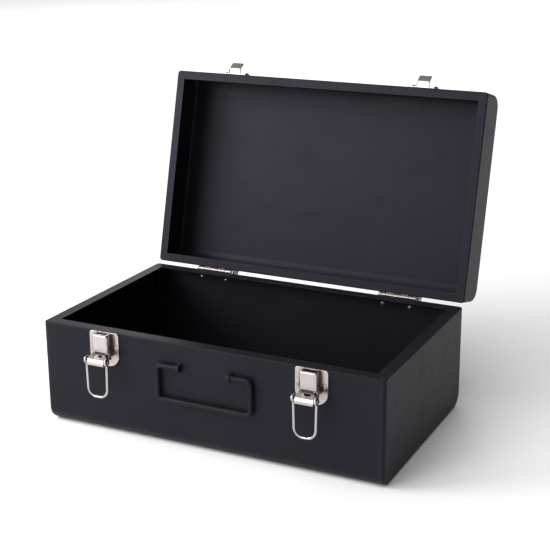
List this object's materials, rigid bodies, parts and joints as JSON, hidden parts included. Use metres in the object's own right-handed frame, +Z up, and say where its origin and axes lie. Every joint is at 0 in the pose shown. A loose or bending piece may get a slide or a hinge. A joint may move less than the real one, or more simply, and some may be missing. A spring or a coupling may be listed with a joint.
{
  "type": "metal tool box",
  "caption": "Painted sheet-steel tool box with a hinged lid, draw latches with wire bails, lid catches and a drop handle on the front.",
  "frame": {"origin": "centre of the bottom face", "axes": "+Z up, +X along the long side, the front with the latches and the handle faces -Y"},
  "size_m": [0.36, 0.3297, 0.3263],
  "materials": {
    "case_paint": "satin powder coat",
    "handle_paint": "satin powder coat",
    "nickel_plate": "bright nickel plate",
    "bright_wire": "bright nickel plate",
    "rivet_metal": "plated steel"
  },
  "bodies": {
    "base": {"lower_wrap": "case_paint", "lower_side_left": "case_paint", "lower_side_right": "case_paint", "hinge_leaf_lower_left": "nickel_plate", "hinge_leaf_lower_right": "nickel_plate", "hinge_pin_left": "rivet_metal", "hinge_pin_right": "rivet_metal", "hinge_rivets_lower": "rivet_metal", "latch_plate_left": "nickel_plate", "latch_plate_right": "nickel_plate", "lever_pin_left": "rivet_metal", "lever_pin_right": "rivet_metal", "latch_rivets": "rivet_metal", "handle_eye_left": "handle_paint", "handle_eye_right": "handle_paint"},
    "lid": {"upper_wrap": "case_paint", "upper_side_left": "case_paint", "upper_side_right": "case_paint", "hinge_leaf_upper_left": "nickel_plate", "hinge_leaf_upper_right": "nickel_plate", "hinge_rivets_upper": "rivet_metal", "catch_left": "nickel_plate", "catch_right": "nickel_plate", "catch_rivets": "rivet_metal"},
    "lever_left": {"latch_lever_left": "nickel_plate"},
    "lever_right": {"latch_lever_right": "nickel_plate"},
    "bail_pin_left": {"bail_pin_left": "rivet_metal"},
    "bail_pin_right": {"bail_pin_right": "rivet_metal"},
    "bail_left": {"bail_left": "bright_wire"},
    "bail_right": {"bail_right": "bright_wire"},
    "handle": {"handle": "handle_paint"}
  },
  "joints": [
    {"name": "lid_hinge", "type": "hinge", "parent": "base", "child": "lid", "pos_m": [0, 0.10965, 0.1057], "axis": [1, 0, 0], "range_deg": [0, 104.4]},
    {"name": "lever_left_pivot", "type": "hinge", "parent": "base", "child": "lever_left", "pos_m": [-0.1095, -0.11365, 0.0849], "axis": [-1, 0, 0], "range_deg": [-70, 15]},
    {"name": "bail_pin_left_turn", "type": "hinge", "parent": "lever_left", "child": "bail_pin_left", "pos_m": [-0.1095, -0.12228, 0.08069], "axis": [-1, 0, 0], "range_deg": [-15, 70]},
    {"name": "bail_left_swing", "type": "hinge", "parent": "bail_pin_left", "child": "bail_left", "pos_m": [-0.1095, -0.12228, 0.08069], "axis": [-1, 0, 0], "range_deg": [-4, 180]},
    {"name": "lever_right_pivot", "type": "hinge", "parent": "base", "child": "lever_right", "pos_m": [0.1095, -0.11365, 0.0849], "axis": [-1, 0, 0], "range_deg": [-70, 15]},
    {"name": "bail_pin_right_turn", "type": "hinge", "parent": "lever_right", "child": "bail_pin_right", "pos_m": [0.1095, -0.12228, 0.08069], "axis": [-1, 0, 0], "range_deg": [-15, 70]},
    {"name": "bail_right_swing", "type": "hinge", "parent": "bail_pin_right", "child": "bail_right", "pos_m": [0.1095, -0.12228, 0.08069], "axis": [-1, 0, 0], "range_deg": [-4, 180]},
    {"name": "handle_swing", "type": "hinge", "parent": "base", "child": "handle", "pos_m": [0, -0.11065, 0.0826], "axis": [-1, 0, 0], "range_deg": [0, 172]}
  ],
  "couplings": [
    {"joint": "bail_pin_left_turn", "follows": "lever_left_pivot", "ratio": -1},
    {"joint": "bail_pin_right_turn", "follows": "lever_right_pivot", "ratio": -1}
  ]
}
